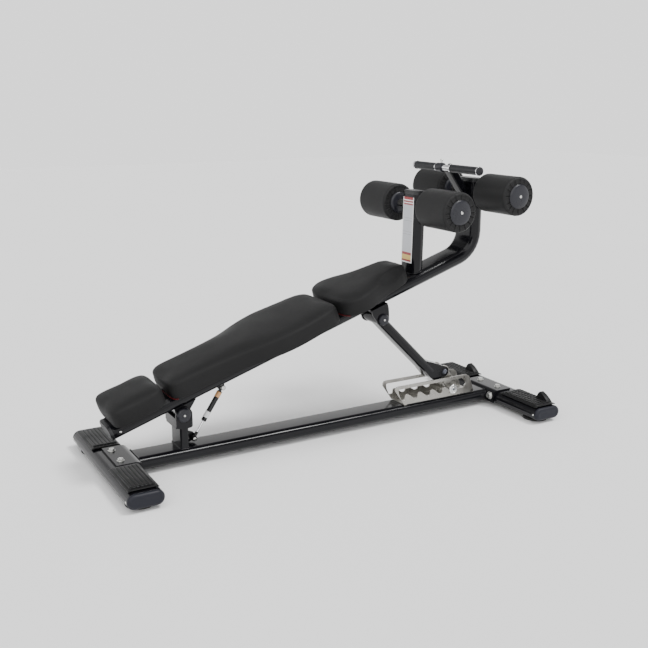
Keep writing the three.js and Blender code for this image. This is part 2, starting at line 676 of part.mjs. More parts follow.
// ---------- gas spring ----------
function springParts() {
  const a = new THREE.Vector3(SPRING_TOP[0], 0, SPRING_TOP[1]);
  const b = new THREE.Vector3(SPRING_LOW[0], 0, SPRING_LOW[1]);
  const dir = b.clone().sub(a);
  const length = dir.length();
  dir.normalize();
  const across = new THREE.Vector3(-dir.z, 0, dir.x);
  const turn = new THREE.Matrix4().makeBasis(across, dir, new THREE.Vector3(0, 1, 0)).setPosition(a);
  const place = (profile, segments) => {
    const geometry = new THREE.LatheGeometry(profile.map(([r, t]) => new THREE.Vector2(r, t)), segments);
    geometry.applyMatrix4(turn);
    return geometry;
  };
  const tube = [[0, 6], [4, 6], [4, 14], [9, 15], [9, 130], [8, 132], [4.3, 132], [4.3, 70], [0, 70]];
  const body = place(tube, 16);
  const topEye = cut(join(rodY(9, -5, 5, a.x, a.z), body), rodY(5.9, -20, 20, a.x, a.z));
  addMesh('spring_cylinder', topEye, 0x111113, 0.3, 0.3);
  const rod = place([[0, 76], [4, 76], [4, length - 4], [0, length - 4]], 16);
  const lowEye = cut(join(rodY(9, -5, 5, b.x, b.z), rod), rodY(5.9, -20, 20, b.x, b.z));
  addMesh('spring_rod', lowEye, ...chrome);
}
springParts();

export default bench;
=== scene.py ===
import json
import math

import bmesh
import bpy
import numpy as np
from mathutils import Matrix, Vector

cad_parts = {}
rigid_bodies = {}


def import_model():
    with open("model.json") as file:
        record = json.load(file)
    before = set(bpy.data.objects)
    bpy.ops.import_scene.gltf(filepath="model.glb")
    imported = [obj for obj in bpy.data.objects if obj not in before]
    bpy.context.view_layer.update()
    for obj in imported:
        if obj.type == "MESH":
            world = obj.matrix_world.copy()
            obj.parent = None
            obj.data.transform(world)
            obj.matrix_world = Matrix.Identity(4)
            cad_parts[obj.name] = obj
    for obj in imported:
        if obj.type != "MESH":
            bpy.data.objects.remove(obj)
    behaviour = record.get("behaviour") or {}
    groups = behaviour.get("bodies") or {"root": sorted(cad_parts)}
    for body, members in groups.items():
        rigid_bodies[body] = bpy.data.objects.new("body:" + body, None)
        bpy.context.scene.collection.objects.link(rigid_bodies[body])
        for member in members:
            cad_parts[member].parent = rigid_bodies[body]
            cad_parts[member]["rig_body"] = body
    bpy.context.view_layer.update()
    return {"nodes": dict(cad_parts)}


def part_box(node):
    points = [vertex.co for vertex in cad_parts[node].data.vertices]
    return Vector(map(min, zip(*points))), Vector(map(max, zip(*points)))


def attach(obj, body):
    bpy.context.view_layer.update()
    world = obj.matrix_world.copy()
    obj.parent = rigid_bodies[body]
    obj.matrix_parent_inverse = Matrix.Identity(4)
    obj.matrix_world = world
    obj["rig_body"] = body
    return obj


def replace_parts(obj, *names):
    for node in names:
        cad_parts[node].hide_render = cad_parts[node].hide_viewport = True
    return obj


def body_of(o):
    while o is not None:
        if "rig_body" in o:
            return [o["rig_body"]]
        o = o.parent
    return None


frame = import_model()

scene = bpy.context.scene

# ---- Welded frame ----
# Flat-oval steel tube, folded plate and brackets, welded up and powder coated in gloss black.
# The coat has a faint orange-peel surface and runs softly over every cut edge.


def finish(name, dark, light, rough, metal=0.0, grain=600.0, depth=0.00012, stretch=(1, 1, 1), cells=0.0,
           patch=5.0, **fixed):
    """A surface finish: a slow noise of scale patch moves the colour from dark to light and the roughness
    between the two values of rough; a fine noise, plus Voronoi cells where cells > 0, gives the relief."""
    material = bpy.data.materials.new(name)
    material.use_nodes = True
    tree = material.node_tree
    shader = tree.nodes["Principled BSDF"]
    place = tree.nodes.new("ShaderNodeTexCoord")
    scaled = tree.nodes.new("ShaderNodeMapping")
    scaled.inputs["Scale"].default_value = stretch
    tree.links.new(place.outputs["Object"], scaled.inputs["Vector"])
    slow = tree.nodes.new("ShaderNodeTexNoise")
    slow.inputs["Scale"].default_value = patch
    slow.inputs["Detail"].default_value = 6
    tree.links.new(place.outputs["Object"], slow.inputs["Vector"])
    fine = tree.nodes.new("ShaderNodeTexNoise")
    fine.inputs["Scale"].default_value = grain
    fine.inputs["Detail"].default_value = 3
    tree.links.new(scaled.outputs["Vector"], fine.inputs["Vector"])
    colour = tree.nodes.new("ShaderNodeMix")
    colour.data_type = "RGBA"
    colour.inputs["A"].default_value = (*dark, 1)
    colour.inputs["B"].default_value = (*light, 1)
    tree.links.new(slow.outputs["Fac"], colour.inputs["Factor"])
    tree.links.new(colour.outputs["Result"], shader.inputs["Base Color"])
    gloss = tree.nodes.new("ShaderNodeMapRange")
    gloss.inputs["From Min"].default_value = 0.3
    gloss.inputs["From Max"].default_value = 0.7
    gloss.inputs["To Min"].default_value = rough[0]
    gloss.inputs["To Max"].default_value = rough[1]
    tree.links.new(slow.outputs["Fac"], gloss.inputs["Value"])
    tree.links.new(gloss.outputs["Result"], shader.inputs["Roughness"])
    height = fine.outputs["Fac"]
    if cells:
        pebble = tree.nodes.new("ShaderNodeTexVoronoi")
        pebble.inputs["Scale"].default_value = cells
        tree.links.new(place.outputs["Object"], pebble.inputs["Vector"])
        both = tree.nodes.new("ShaderNodeMath")
        both.operation = "ADD"
        tree.links.new(height, both.inputs[0])
        tree.links.new(pebble.outputs["Distance"], both.inputs[1])
        height = both.outputs["Value"]
    relief = tree.nodes.new("ShaderNodeBump")
    relief.inputs["Strength"].default_value = 0.5
    relief.inputs["Distance"].default_value = depth
    tree.links.new(height, relief.inputs["Height"])
    tree.links.new(relief.outputs["Normal"], shader.inputs["Normal"])
    shader.inputs["Metallic"].default_value = metal
    for socket, value in fixed.items():
        shader.inputs[socket.replace("_", " ")].default_value = value
    return material


def dress(piece, material, body):
    """Gives a new piece its finish and the body it moves with."""
    if material is not None:
        piece.data.materials.clear()
        piece.data.materials.append(material)
    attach(piece, body)
    return piece


def sharp_at(mesh, degrees):
    """Smooth shading, kept crisp where two faces meet at more than this angle."""
    mesh.shade_smooth()
    mesh.set_sharp_from_angle(angle=math.radians(degrees))


def softened(node, material, edge, cuts=()):
    """The CAD solid with its loose triangles merged, flat areas joined, and a small radius on each edge.
    Each cut is a point and a direction: what lies beyond it, such as a plain bolt head, is taken off."""
    source = frame["nodes"][node].data
    count = len(source.vertices)
    points = np.empty(count * 3)
    source.vertices.foreach_get("co", points)
    corners = np.empty(len(source.loops), np.int32)
    source.loops.foreach_get("vertex_index", corners)
    mesh = bpy.data.meshes.new(node + "_part")
    mesh.from_pydata(points.reshape(-1, 3), [], corners.reshape(-1, 3))
    work = bmesh.new()
    work.from_mesh(mesh)
    bmesh.ops.remove_doubles(work, verts=work.verts, dist=2e-6)
    bmesh.ops.dissolve_limit(work, angle_limit=math.radians(0.6), verts=work.verts, edges=work.edges)
    for point, away in cuts:
        everything = work.verts[:] + work.edges[:] + work.faces[:]
        bmesh.ops.bisect_plane(work, geom=everything, plane_co=point, plane_no=away, clear_outer=True)
        bmesh.ops.holes_fill(work, edges=[e for e in work.edges if e.is_boundary])
    work.to_mesh(mesh)
    work.free()
    sharp_at(mesh, 33)
    piece = bpy.data.objects.new(node + "_part", mesh)
    scene.collection.objects.link(piece)
    if edge:
        bevel = piece.modifiers.new("edge radius", "BEVEL")
        bevel.width = edge
        bevel.segments = 2
        bevel.limit_method = "ANGLE"
        bevel.angle_limit = math.radians(33)
        bevel.harden_normals = True
    even = piece.modifiers.new("flat faces", "WEIGHTED_NORMAL")
    even.keep_sharp = True
    dress(piece, material, body_of(frame["nodes"][node])[0])
    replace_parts(piece, node)
    return piece


black_coat = finish("gloss_black_coat", (0.0032, 0.0032, 0.0042), (0.0052, 0.0052, 0.0068), (0.10, 0.19),
                    grain=520, depth=0.00010, Specular_IOR_Level=0.24)
for tube in ("front_cross_tube", "rear_cross_tube", "base_beam", "seat_tube", "label_post", "strut"):
    softened(tube, black_coat, 0.0008)
for plate in ("front_post", "front_lug", "rear_bracket", "spring_bracket", "spring_lug", "handle_arm"):
    softened(plate, black_coat, 0.0012)
plate_top = 0.0683
flange_face = 0.7287
softened("front_saddle", black_coat, 0.0012, cuts=[((0, 0, plate_top + 0.00005), (0, 0, 1))])
softened("rear_saddle", black_coat, 0.0012, cuts=[((0, 0, plate_top + 0.00005), (0, 0, 1)),
                                                  ((flange_face - 0.00005, 0, 0), (-1, 0, 0))])


# ---- Weld beads ----
# Where posts and brackets meet a tube, a MIG bead runs round the joint and is coated with the frame.
# Its surface is a row of overlapping ripples about three millimetres apart.


def bead(name, path, radius, body, closed=True):
    """A round bead along path: ring points at radius * (1 + 0.14 * |sin|), one ripple each 3 mm of length."""
    path = np.asarray(path, float)
    if closed:
        path = np.vstack([path, path[:1]])
    lengths = np.r_[0, np.cumsum(np.linalg.norm(np.diff(path, axis=0), axis=1))]
    steps = max(24, int(lengths[-1] / 0.001))
    at = np.linspace(0, lengths[-1], steps, endpoint=not closed)
    line = np.stack([np.interp(at, lengths, path[:, k]) for k in range(3)], axis=1)
    tangent = np.gradient(line, axis=0)
    if closed:
        tangent = np.roll(line, -1, 0) - np.roll(line, 1, 0)
    tangent /= np.linalg.norm(tangent, axis=1, keepdims=True)
    up = np.array([0, 0, 1.0]) if abs(tangent[:, 2]).mean() < 0.7 else np.array([0, 1.0, 0])
    side = np.cross(tangent, up)
    side /= np.linalg.norm(side, axis=1, keepdims=True)
    lift = np.cross(side, tangent)
    turn = np.linspace(0, 2 * np.pi, 10, endpoint=False)
    swell = radius * (0.86 + 0.14 * np.abs(np.sin(np.pi * at / 0.003)))[:, None, None]
    ring = (side[:, None] * np.cos(turn)[None, :, None] + lift[:, None] * np.sin(turn)[None, :, None]) * swell
    points = (line[:, None] + ring).reshape(-1, 3)
    return surface(name, points, grid_quads(steps, 10, closed, True), body, black_coat,
                   caps=not closed)


def grid_quads(rows, columns, wrap_rows, wrap_columns):
    """Quads of a rows x columns grid of points, joined round where wrap says so."""
    r = np.arange(rows if wrap_rows else rows - 1)[:, None]
    c = np.arange(columns if wrap_columns else columns - 1)[None, :]
    r2, c2 = (r + 1) % rows, (c + 1) % columns
    quads = np.stack([r * columns + c, r * columns + c2, r2 * columns + c2, r2 * columns + c], axis=-1)
    return quads.reshape(-1, 4)


def surface(name, points, quads, body, material, sharp=40, caps=False, merge=1e-6):
    """A closed piece from points and quads: doubles merged, open ends filled, faces turned outwards."""
    mesh = bpy.data.meshes.new(name)
    mesh.from_pydata(np.asarray(points), [], np.asarray(quads))
    work = bmesh.new()
    work.from_mesh(mesh)
    bmesh.ops.remove_doubles(work, verts=work.verts, dist=merge)
    bmesh.ops.dissolve_degenerate(work, edges=work.edges, dist=1e-7)
    if caps:
        bmesh.ops.holes_fill(work, edges=[e for e in work.edges if e.is_boundary])
    bmesh.ops.recalc_face_normals(work, faces=work.faces)
    work.to_mesh(mesh)
    work.free()
    sharp_at(mesh, sharp)
    piece = bpy.data.objects.new(name, mesh)
    scene.collection.objects.link(piece)
    return dress(piece, material, body)


def rounded_loop(half_x, half_y, radius, count=40):
    """Points round a rounded rectangle in the plane, anticlockwise, centred on zero."""
    turn = np.linspace(0, 2 * np.pi, count, endpoint=False)
    cx = np.sign(np.cos(turn)) * (half_x - radius)
    cy = np.sign(np.sin(turn)) * (half_y - radius)
    return np.stack([cx + radius * np.cos(turn), cy + radius * np.sin(turn)], axis=1)


tilt = math.radians(18.06)
seat_axis = np.array([math.cos(tilt), 0, math.sin(tilt)])
seat_up = np.array([-math.sin(tilt), 0, math.cos(tilt)])
seat_origin = np.array([-0.795, 0, 0.1441])


def on_seat(s, y, h):
    """Row-frame point: s along the seat tube, y across and h above its underside, all in metres."""
    s, y, h = np.broadcast_arrays(np.asarray(s, float), np.asarray(y, float), np.asarray(h, float))
    across = np.array([0, 1.0, 0])
    return seat_origin + s[..., None] * seat_axis + y[..., None] * across + h[..., None] * seat_up


beam_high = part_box("base_beam")[1]
foot_of_post = rounded_loop(0.0155, 0.0465, 0.007)
bead("front_post_weld", np.c_[foot_of_post[:, 0] - 0.566, foot_of_post[:, 1],
                              np.full(40, beam_high.z + 0.0012)], 0.0026, "base")
for side, tag in ((-1, "front"), (1, "rear")):
    across_beam = np.linspace(-0.046, 0.046, 10)
    bead("beam_end_weld_" + tag, np.c_[np.full(10, side * 0.7282), across_beam, np.full(10, 0.0608)], 0.0026,
         "base", closed=False)
post_loop = rounded_loop(0.0252, 0.0502, 0.0248, 72)
post_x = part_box("label_post")[0].x + 0.0256
seat_slope = math.tan(tilt)
post_z = 0.1441 + 0.050 / math.cos(tilt) + (post_x + post_loop[:, 0] + 0.795) * seat_slope + 0.001
bead("label_post_weld", np.c_[post_x + post_loop[:, 0], post_loop[:, 1], post_z], 0.0026, "seat_frame")
for side, tag in ((-1, "near"), (1, "far")):
    bead("rear_bracket_weld_" + tag, on_seat(np.linspace(1.004, 1.072, 12), side * 0.0565, -0.0012), 0.0022,
         "seat_frame", closed=False)
    rack_low, rack_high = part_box("rack")
    along_rack = np.linspace(rack_low.x + 0.055, rack_high.x - 0.012, 8)
    bead("rack_weld_" + tag, np.c_[along_rack, np.full(8, side * 0.0468), np.full(8, rack_low.z + 0.0012)],
         0.0016, "base", closed=False)


# ---- End caps and tube plugs ----
# Moulded nylon caps push into the open ends of the cross tubes and are held by a small side screw.
# The outer face rounds over with a generous radius; smaller plugs close the posts in the same way.
slate_plastic = finish("slate_nylon", (0.0070, 0.0074, 0.0120), (0.0105, 0.0112, 0.0175), (0.40, 0.54),
                       grain=1400, depth=0.00010, patch=9, Specular_IOR_Level=0.25)


def oval(half_w, half_t, count=96):
    """Flat-oval outline with round ends: points and outward unit normals, spaced evenly along its length."""
    straight = 2 * (half_w - half_t)
    arc = math.pi * half_t
    at = np.linspace(0, 2 * (straight + arc), count, endpoint=False)
    points, normals = np.empty((count, 2)), np.empty((count, 2))
    for start, flip in ((0, 1), (straight + arc, -1)):
        local = at - start
        flat = (local >= 0) & (local < straight)
        round_ = (local >= straight) & (local < straight + arc)
        points[flat] = np.stack([flip * (straight / 2 - local[flat]), np.full(flat.sum(), flip * half_t)], 1)
        normals[flat] = (0, flip)
        bend = (local[round_] - straight) / half_t + math.pi / 2
        normals[round_] = flip * np.stack([np.cos(bend), np.sin(bend)], 1)
        points[round_] = normals[round_] * half_t + np.array([-flip * straight / 2, 0])
    return points, normals


def end_cap(name, side):
    """Rings of the oval, moved inwards by the arc of a 12 mm radius as they go out, then across the face."""
    low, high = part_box(name)
    x, z = (low.x + high.x) / 2, (low.z + high.z) / 2
    outer = low.y if side < 0 else high.y
    points, normals = oval(0.0600, 0.0250)
    bend = np.linspace(0, np.pi / 2, 9)
    inset = np.r_[0.0006, 0, 0, 0.012 * (1 - np.cos(bend[1:])), np.linspace(0.0135, 0.0249, 8)]
    depth = np.r_[0.0127, 0.0124, 0.0120, 0.012 * (1 - np.sin(bend[1:])), np.zeros(8)]
    rings = points[None] - normals[None] * inset[:, None, None]
    dish = -0.0008 * np.clip((inset - 0.013) / 0.008, 0, 1)
    y = outer - side * (depth - dish)[:, None] * np.ones(len(points))
    cloud = np.stack([x + rings[..., 0], y, z + rings[..., 1]], axis=-1)
    piece = surface(name + "_moulding", cloud.reshape(-1, 3),
                    grid_quads(len(inset), len(points), False, True), "base", slate_plastic,
                    caps=True, merge=1.2e-4)
    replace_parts(piece, name)


for side, tag in ((-1, "near"), (1, "far")):
    end_cap("front_cap_" + tag, side)
    end_cap("rear_cap_" + tag, side)
plug_plastic = finish("black_nylon_plug", (0.0040, 0.0041, 0.0054), (0.0062, 0.0064, 0.0084), (0.36, 0.50),
                      grain=1200, depth=0.0001)
for plug in ("seat_tube_front_plug", "seat_tube_top_cap", "label_post_cap"):
    softened(plug, plug_plastic, 0.0022)
softened("arm_plug", slate_plastic, 0.001)


# ---- Rubber feet ----
# Round moulded rubber pads under the ends of both cross tubes, held from below by one screw each.
# Only their rims show under the tube.
foot_rubber = finish("foot_rubber", (0.012, 0.012, 0.012), (0.022, 0.022, 0.021), (0.7, 0.9), grain=900,
                     depth=0.0002, patch=14)
for foot in ("front_foot_near", "rear_foot_near", "front_foot_far", "rear_foot_far"):
    softened(foot, foot_rubber, 0.0008)


# ---- Screws and bolts ----
# Zinc-plated fasteners: hex bolts with washers hold the saddles, pan heads hold treads and end caps.
# All heads are turned or forged, then plated, so their faces carry a fine bright grain.
bright_zinc = finish("bright_zinc", (0.52, 0.52, 0.50), (0.72, 0.72, 0.70), (0.22, 0.38), metal=1.0,
                     grain=2400,
                     depth=0.00005, patch=120)
dark_bolt = finish("blackened_bolt", (0.07, 0.075, 0.09), (0.12, 0.125, 0.145), (0.2, 0.32), metal=1.0,
                   grain=1800, depth=0.00006, patch=90)


def axes_for(direction):
    """Two unit vectors across a direction."""
    d = np.asarray(direction, float)
    d = d / np.linalg.norm(d)
    u = np.cross(d, [0, 0, 1.0]) if abs(d[2]) < 0.9 else np.cross(d, [1.0, 0, 0])
    u /= np.linalg.norm(u)
    return d, u, np.cross(d, u)


def turned(profile, centre, direction, count=40, sides=0):
    """Points of revolution: centre + t * d + r * (cos u + sin v). With sides, rows whose third value is 1
    use the polar radius of a polygon of that many flats in place of a circle."""
    d, u, v = axes_for(direction)
    profile = np.asarray(profile, float)
    turn = np.linspace(0, 2 * np.pi, count, endpoint=False)
    shape = np.ones((len(profile), count))
    if sides:
        wedge = 2 * np.pi / sides
        flats = math.cos(wedge / 2) / np.cos((turn % wedge) - wedge / 2)
        shape = np.where(profile[:, 2:3] > 0.5, flats[None, :], 1.0)
    radius = profile[:, 0:1] * shape
    cloud = (np.asarray(centre, float) + profile[:, 1][:, None, None] * d
             + radius[..., None] * (np.cos(turn)[:, None] * u + np.sin(turn)[:, None] * v))
    return cloud.reshape(-1, 3), grid_quads(len(profile), count, False, True)


def group(name, shapes, body, material, sharp=30):
    """Several closed shapes as one piece."""
    points, quads, total = [], [], 0
    for p, q in shapes:
        points.append(p)
        quads.append(q + total)
        total += len(p)
    return surface(name, np.vstack(points), np.vstack(quads), body, material, sharp=sharp)


def hex_bolt(centre, direction, radius, height, washer):
    """Washer, six-sided head and its round chamfer, closed at both ends on the axis."""
    w = 0.0015
    return turned([[0, 0, 0], [washer, 0, 0], [washer, w * 0.8, 0], [washer - 0.0006, w, 0], [radius, w, 1],
                   [radius, w + height * 0.8, 1], [radius * 0.88, w + height, 0],
                   [radius * 0.55, w + height, 0], [radius * 0.5, w + height - 0.0006, 0],
                   [0, w + height - 0.0006, 0]], centre, direction, 48, 6)


def pan_head(centre, direction, radius):
    """Low domed head: quarter-ellipse dome of height 0.55 * radius with a drilled drive in the middle."""
    bend = np.linspace(0, 1.25, 7)
    dome = [[radius * math.cos(a), radius * 0.55 * math.sin(a), 0] for a in bend]
    drive = [[radius * 0.28, radius * 0.30, 1], [0, radius * 0.26, 0]]
    return turned([[0, 0, 0]] + dome + drive, centre, direction, 36, 6)


group("front_saddle_bolts", [hex_bolt((-0.791, y, plate_top), (0, 0, 1), 0.0100, 0.0066, 0.0124)
                             for y in (-0.049, 0.049)], "base", bright_zinc)
group("rear_saddle_bolts", [hex_bolt((0.783, y, plate_top), (0, 0, 1), 0.0100, 0.0066, 0.0124)
                            for y in (-0.054, 0.054)], "base", bright_zinc)
group("rear_flange_bolts", [hex_bolt((flange_face, y, 0.045), (-1, 0, 0), 0.0120, 0.0080, 0.0155)
                            for y in (-0.072, 0.072)], "base", bright_zinc)
cap_screws = []
for x, half in ((-0.795, 0.318), (0.795, 0.339)):
    for side in (-1, 1):
        for face in (-1, 1):
            cap_screws.append(pan_head((x + face * 0.0598,
                              side * (half - 0.0195), 0.037), (face, 0, 0), 0.0042))
for side in (-1, 1):
    group("plug_screw_" + ("near" if side < 0 else "far"),
          [pan_head((-0.7880, side * 0.0598, 0.1705), (0, side, 0), 0.0042)], "seat_frame", bright_zinc)
group("cap_side_screws", cap_screws, "base", bright_zinc)


# ---- Treads ----
# Moulded rubber covers wrap over the cross tubes where feet are set: ribbed at the head end, a square
# grid at the other, where each also carries a curved heel stop. Four screws hold each one down.
tread_rubber = finish("tread_rubber", (0.0036, 0.0036, 0.0039), (0.0064, 0.0064, 0.0068), (0.34, 0.50),
                      grain=1100,
                      depth=0.00022, patch=18, Specular_IOR_Level=0.25)


def tread(name, cells):
    """Cover as a sheet over the tube: across it the arc length a runs round the section, along it y; ribs
    raise it by smooth steps, and margins near the ends and screws stay plain. A wall is added inwards."""
    low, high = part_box(name)
    x = (low.x + high.x) / 2
    rows, columns = 190, 170
    a = np.linspace(-1, 1, columns)
    y = np.linspace(low.y + 0.0010, high.y - 0.0010, rows)
    flat, radius = 0.035, 0.0300
    arc = radius * math.radians(25)
    run = a * (flat + arc)
    over = np.clip(np.abs(run) - flat, 0, None) / radius
    px = np.sign(run) * (np.minimum(np.abs(run), flat) + radius * np.sin(over))
    pz = radius * np.cos(over)
    nx, nz = np.sign(run) * np.sin(over), np.cos(over)

    def steps(value, pitch, share):
        wave = np.abs((value / pitch) % 1 - 0.5) * 2
        return np.clip((wave - (1 - share)) / 0.14, 0, 1)

    inside = (np.clip((np.abs(run) - 0.0385) / -0.001, 0, 1)[None, :]
              * np.clip((np.minimum(y - y[0], y[-1] - y) - 0.013) / 0.002, 0, 1)[:, None])
    across = steps(run + 0.038, 0.076 / cells[0], 0.66)[None, :] * np.ones((rows, 1))
    raised = across
    if cells[1]:
        lengthwise = steps(y - y[0] - 0.013, (y[-1] - y[0] - 0.026) / cells[1], 0.72)[:, None]
        raised = across * lengthwise
    rim = 1 - np.clip(np.minimum(y - y[0], y[-1] - y) / 0.003, 0, 1)[:, None] ** 0.5
    side_rim = 1 - np.clip((run[-1] - np.abs(run)) / 0.002, 0, 1)[None, :] ** 0.5
    lift = 0.0036 * raised * inside - 0.0010 - 0.0012 * np.maximum(rim, side_rim)
    cloud = np.stack([x + px[None] + nx[None] * lift, y[:, None] * np.ones(columns)[None],
                      0.0372 + pz[None] + nz[None] * lift], axis=-1)
    mesh = bpy.data.meshes.new(name + "_cover")
    mesh.from_pydata(cloud.reshape(-1, 3), [], grid_quads(rows, columns, False, False)[:, ::-1])
    mesh.shade_smooth()
    piece = bpy.data.objects.new(name + "_cover", mesh)
    scene.collection.objects.link(piece)
    wall = piece.modifiers.new("moulded wall", "SOLIDIFY")
    wall.thickness = 0.0034
    wall.offset = -1
    dress(piece, tread_rubber, "base")
    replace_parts(piece, name)
    screws = [pan_head((x + sx * 0.043, sy, 0.0372 + 0.0290), (sx * 0.27, 0, 1), 0.0040)
              for sx in (-1, 1) for sy in (low.y + 0.0085, high.y - 0.0085)]
    group(name + "_screws", screws, "base", bright_zinc)
    return low, high


def heel_stop(name, x, y0):
    """Curved fin: its outline in Y and Z, carried 24 mm along X, narrowing to 80% at the tip."""
    outline = np.array([[0, -0.002], [6, 12], [13, 25], [18.5, 32], [22, 33.5], [27, 31.5], [42, 25], [58, 14],
                        [69, 3], [72, -0.002]]) / 1000
    at = np.linspace(0, 1, 12)
    width = 0.0120 * (1 - 0.20 * np.clip(outline[:, 1] / 0.0335, 0, 1))
    across = np.sin((at - 0.5) * np.pi)
    sink = 0.0010 * (1 - np.sqrt(np.clip(1 - across ** 2, 0, 1)))
    cloud = np.stack([x + width[:, None] * across[None], y0 + 0.083 - outline[:, 0:1] + 0 * at[None],
                      0.0663 + np.clip(outline[:, 1:2], 0, 1) * np.ones(12) - sink[None]
                      - 0.004 * (outline[:, 1:2] < 0.001)], axis=-1)
    piece = surface(name, cloud.reshape(-1, 3), grid_quads(10, 12, True, False), "base", tread_rubber,
                    caps=True, sharp=50)
    bevel = piece.modifiers.new("moulded radius", "BEVEL")
    bevel.width = 0.0016
    bevel.segments = 3
    bevel.limit_method = "ANGLE"
    bevel.angle_limit = math.radians(48)


for tag in ("near", "far"):
    tread("front_tread_" + tag, (6, 0))
    low, high = tread("rear_tread_" + tag, (5, 10))
    heel_stop("heel_stop_" + tag, 0.829, low.y)


# ---- Pivot covers ----
# Domed nylon covers snap over the ends of both pivot pins; a bright screw holds each in the middle.
pivot_plastic = finish("pivot_nylon", (0.0100, 0.0102, 0.0140), (0.0150, 0.0155, 0.0210), (0.24, 0.36),
                       grain=1300,
                       depth=0.00008, patch=20, Specular_IOR_Level=0.35)


def pivot_cover(node, radius):
    low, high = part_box(node)
    x, z = (low.x + high.x) / 2, (low.z + high.z) / 2
    face = high.y - 0.0125
    bend = np.linspace(0, np.pi / 2, 9)
    dome = [[radius * (0.42 + 0.58 * math.cos(a)), 0.0040 + 0.0080 * math.sin(a), 0] for a in bend]
    shapes, heads = [], []
    for side in (-1, 1):
        shapes.append(turned([[0, 0, 0], [radius, 0, 0]] + dome + [[0.0052, 0.0118, 0], [0.0048, 0.0106, 0],
                                                                   [0, 0.0106, 0]],
                             (x, side * face, z), (0, side, 0), 48))
        heads.append(pan_head((x, side * (face + 0.0107), z), (0, side, 0), 0.0043))
    shapes.append(turned([[0, -face, 0], [0.0099, -face, 0], [0.0099, face, 0], [0, face, 0]],
                         (x, 0, z), (0, 1, 0), 32))
    body = body_of(frame["nodes"][node])[0]
    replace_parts(group(node + "_covers", shapes, body, pivot_plastic), node)
    group(node + "_screws", heads, body, bright_zinc)


pivot_cover("front_pivot_pin", 0.0252)
pivot_cover("rear_pivot_pin", 0.0215)


# ---- Rack, rack pin and strut tabs ----
# The rack is a folded stainless channel, laser cut with a toothed slot in each side and welded to the
# beam. A steel pin with a disc at each end rides in the teeth, held by two tabs bolted to the strut.
brushed_plate = finish("brushed_stainless", (0.30, 0.29, 0.27), (0.42, 0.41, 0.385), (0.24, 0.36), metal=1.0,
                       grain=260, depth=0.00006, stretch=(0.25, 6, 14), patch=40)
softened("rack", brushed_plate, 0.0006)
softened("strut_tab_near", brushed_plate, 0.0005)
softened("strut_tab_far", brushed_plate, 0.0005)

bright_disc = finish("turned_disc", (0.74, 0.74, 0.73), (0.86, 0.86, 0.85), (0.18, 0.28), metal=1.0,
                     grain=1600,
                     depth=0.00004, patch=160)
low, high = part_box("rack_pin")
pin_x, pin_z = (low.x + high.x) / 2, (low.z + high.z) / 2
pin_parts = [turned([[0, -0.0470, 0], [0.0064, -0.0470, 0], [0.0064, 0.0470, 0], [0, 0.0470, 0]],
                    (pin_x, 0, pin_z), (0, 1, 0), 40)]
disc_screws = []
for side in (-1, 1):
    pin_parts.append(turned([[0, 0.0470, 0], [0.0178, 0.0470, 0], [0.0188, 0.0478, 0], [0.0188, 0.0502, 0],
                             [0.0178, 0.0512, 0], [0.0142, 0.0514, 0], [0.0136, 0.0508, 0],
                             [0.0090, 0.0508, 0], [0.0082, 0.0516, 0], [0, 0.0518, 0]],
                            (pin_x, 0, pin_z), (0, side, 0), 56))
    disc_screws.append(pan_head((pin_x, side * 0.0517, pin_z), (0, side, 0), 0.0044))
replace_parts(group("rack_pin_and_discs", pin_parts, "strut_arm", bright_disc), "rack_pin")
group("rack_pin_screws", disc_screws, "strut_arm", dark_bolt)

low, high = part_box("strut_bolt")
bolt_x, bolt_z = (low.x + high.x) / 2, (low.z + high.z) / 2
nuts = [turned([[0, -0.0332, 0], [0.0060, -0.0332, 0], [0.0060, 0.0332, 0], [0, 0.0332, 0]],
               (bolt_x, 0, bolt_z), (0, 1, 0), 32)]
for side in (-1, 1):
    nuts.append(turned([[0, 0.0333, 0], [0.0112, 0.0333, 0], [0.0112, 0.0343, 0], [0.0100, 0.0345, 0],
                        [0.0100, 0.0358, 0], [0.0088, 0.0380, 0], [0.0064, 0.0395, 0], [0.0034, 0.0401, 0],
                        [0.0028, 0.0392, 1], [0, 0.0392, 0]], (bolt_x, 0, bolt_z), (0, side, 0), 48, 6))
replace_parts(group("strut_bolt_and_nuts", nuts, "strut_arm", dark_bolt), "strut_bolt")


# ---- Gas spring ----
# A small gas spring checks the fall of the seat frame. Its black cylinder carries two plain sleeves, one
# copper-coloured and one white; the rod is polished, and each end turns on a bright ball stud.
stud_top = np.array([-0.407, 0, 0.243])
stud_low = np.array([-0.518, 0, 0.078])
spring_dir = (stud_low - stud_top) / np.linalg.norm(stud_low - stud_top)
spring_len = float(np.linalg.norm(stud_low - stud_top))
cylinder_black = finish("cylinder_black", (0.0030, 0.0030, 0.0036), (0.0050, 0.0050, 0.0060), (0.12, 0.22),
                        grain=900, depth=0.00005, Specular_IOR_Level=0.4)
copper_sleeve = finish("copper_sleeve", (0.52, 0.27, 0.11), (0.66, 0.36, 0.16), (0.32, 0.45), grain=700,
                       depth=0.00005, patch=60)
white_sleeve = finish("white_sleeve", (0.74, 0.74, 0.74), (0.84, 0.84, 0.84), (0.4, 0.5), grain=700,
                      depth=0.00004, patch=60)
polished = finish("polished_chrome", (0.80, 0.80, 0.82), (0.88, 0.88, 0.90), (0.06, 0.14), metal=1.0,
                  grain=1500,
                  depth=0.00002, patch=40)
tube_shape = turned([[0, 0.0062, 0], [0.0040, 0.0062, 0], [0.0042, 0.0135, 0], [0.0082, 0.0146, 0],
                     [0.0090, 0.0158, 0], [0.0090, 0.1300, 0], [0.0082, 0.1318, 0], [0.0046, 0.1320, 0],
                     [0.0043, 0.1318, 0], [0.0043, 0.0710, 0], [0, 0.0710, 0]], stud_top, spring_dir, 40)
